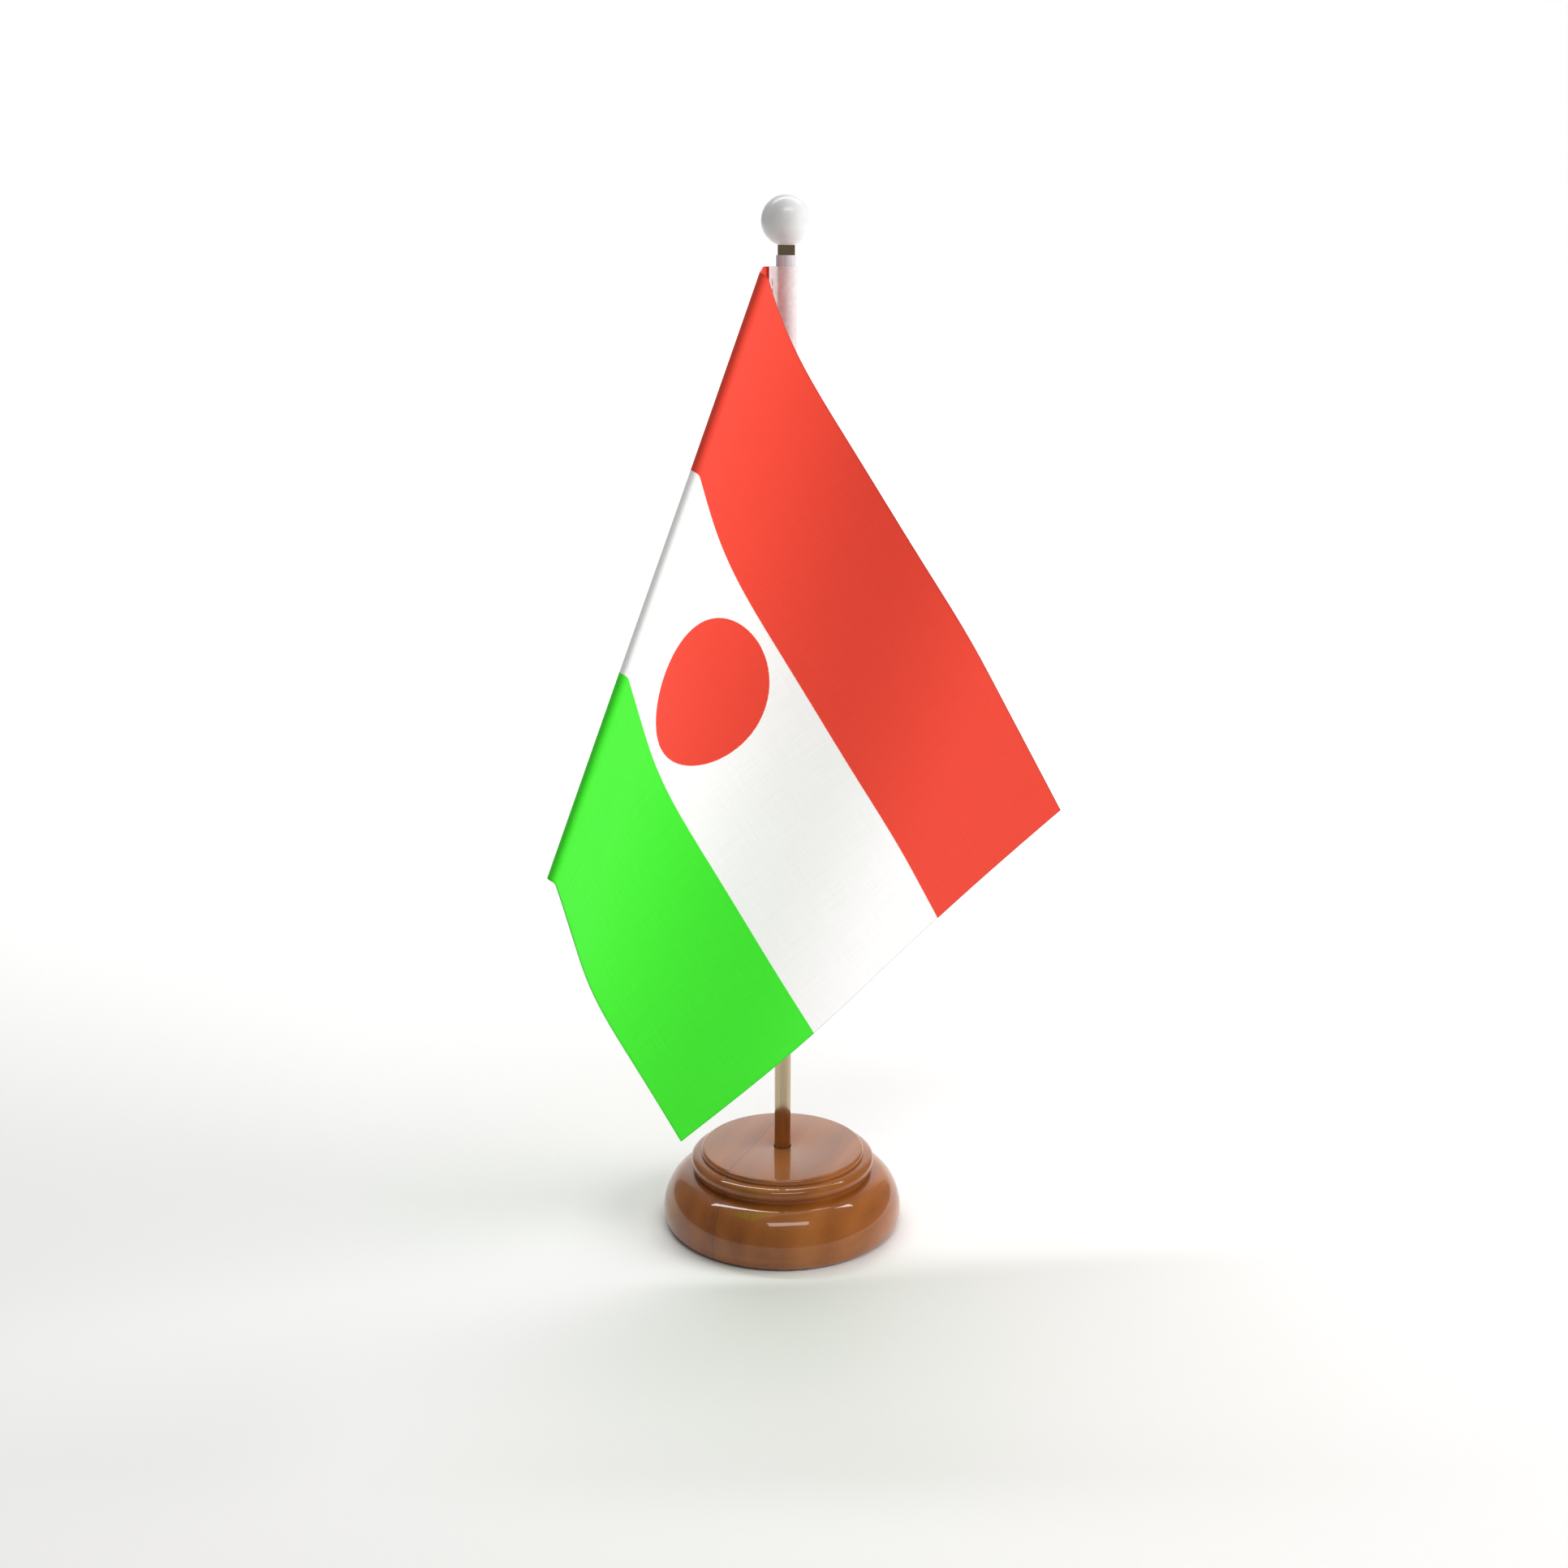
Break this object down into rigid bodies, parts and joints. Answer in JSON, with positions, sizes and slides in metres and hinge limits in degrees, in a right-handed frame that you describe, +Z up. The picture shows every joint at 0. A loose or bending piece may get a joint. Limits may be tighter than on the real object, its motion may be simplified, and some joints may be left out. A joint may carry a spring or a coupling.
{
  "type": "desk flag stand",
  "caption": "Table-top flag on a sleeve over a chromed pole with a white ball finial, standing in a turned and lacquered round wooden base.",
  "frame": {"origin": "centre of the underside of the base pad, on the pole's axis, on the surface that the stand rests on", "axes": "+Z up along the pole; -Y is the front, from which the flag's face is seen; +X is to the right of that view"},
  "size_m": [0.1484, 0.1215, 0.3101],
  "materials": {
    "lacquered_wood": "stained brown, clear gloss lacquer",
    "felt": "matt pressed felt",
    "brass": "turned",
    "chrome": "bright chrome plate",
    "white_plastic": "glossy moulding",
    "liner_plastic": "thin milky tube",
    "white_tape": "woven polyester",
    "printed_cloth": "woven polyester, printed in red, white and green bands with a red disc",
    "thread": "twisted polyester thread"
  },
  "bodies": {
    "base": {"wooden_base": "lacquered_wood", "base_pad": "felt", "pole_socket": "brass"},
    "pole": {"pole": "chrome"},
    "finial": {"finial_ball": "white_plastic"},
    "liner": {"sleeve_liner": "liner_plastic"},
    "flag": {"header_sleeve": "white_tape", "flag_cloth": "printed_cloth", "needle_thread": "thread", "bobbin_thread": "thread"}
  },
  "joints": [
    {"name": "pole_lift", "type": "slide", "parent": "base", "child": "pole", "axis": [0, 0, 1], "range_m": [0, 0.024]},
    {"name": "finial_pull", "type": "slide", "parent": "pole", "child": "finial", "axis": [0, 0, 1], "range_m": [0, 0.008]},
    {"name": "liner_slide", "type": "slide", "parent": "pole", "child": "liner", "axis": [0, 0, 1], "range_m": [-0.012, 0.0018]},
    {"name": "flag_turn", "type": "hinge", "parent": "liner", "child": "flag", "pos_m": [0, 0, 0.2], "axis": [0, 0, 1], "continuous": true}
  ]
}
